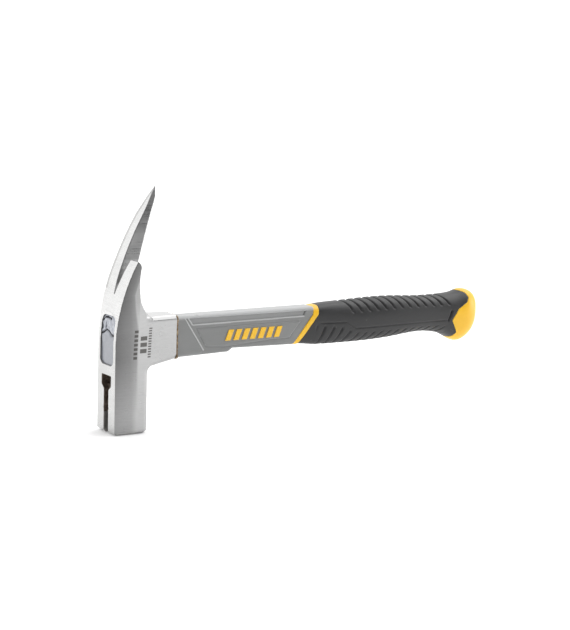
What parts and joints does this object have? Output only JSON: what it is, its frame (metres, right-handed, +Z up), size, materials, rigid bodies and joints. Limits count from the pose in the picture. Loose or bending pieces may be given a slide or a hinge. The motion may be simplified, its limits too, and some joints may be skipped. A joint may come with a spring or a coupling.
{
  "type": "carpenter's roofing hammer",
  "caption": "Roofing hammer with a square poll, magnetic nail starter, long spike, short claw with a nail slot, and a fibreglass handle with a soft grip.",
  "frame": {"origin": "centre of the striking face of the poll", "axes": "+X along the handle from the head to the butt, +Y across the thickness towards the spike side, +Z up the head from the striking face to the spike"},
  "size_m": [0.3255, 0.0372, 0.177],
  "materials": {
    "forged_steel": "satin ground sides, polished front face, clear lacquer",
    "magnet_plating": "dull nickel plating",
    "fibreglass": "sawn glass-fibre bar",
    "casting_resin": "poured resin, glossy, with shrinkage cracks",
    "amber_adhesive": "cured adhesive squeezed out of the joint",
    "grey_jacket": "fine moulded texture",
    "yellow_trim": "satin moulded plastic",
    "inner_plastic": "plain moulded plastic, hidden",
    "soft_grip": "matt soft-touch rubber with moulded grooves"
  },
  "bodies": {
    "root": {"head": "forged_steel", "nail_magnet": "magnet_plating", "fibreglass_core": "fibreglass", "eye_potting": "casting_resin", "neck_bead": "amber_adhesive", "shank_jacket": "grey_jacket", "badge_left": "yellow_trim", "badge_right": "yellow_trim", "trim_band": "yellow_trim", "grip_body": "inner_plastic", "grip_sleeve": "soft_grip", "butt_cap": "yellow_trim"}
  },
  "joints": []
}
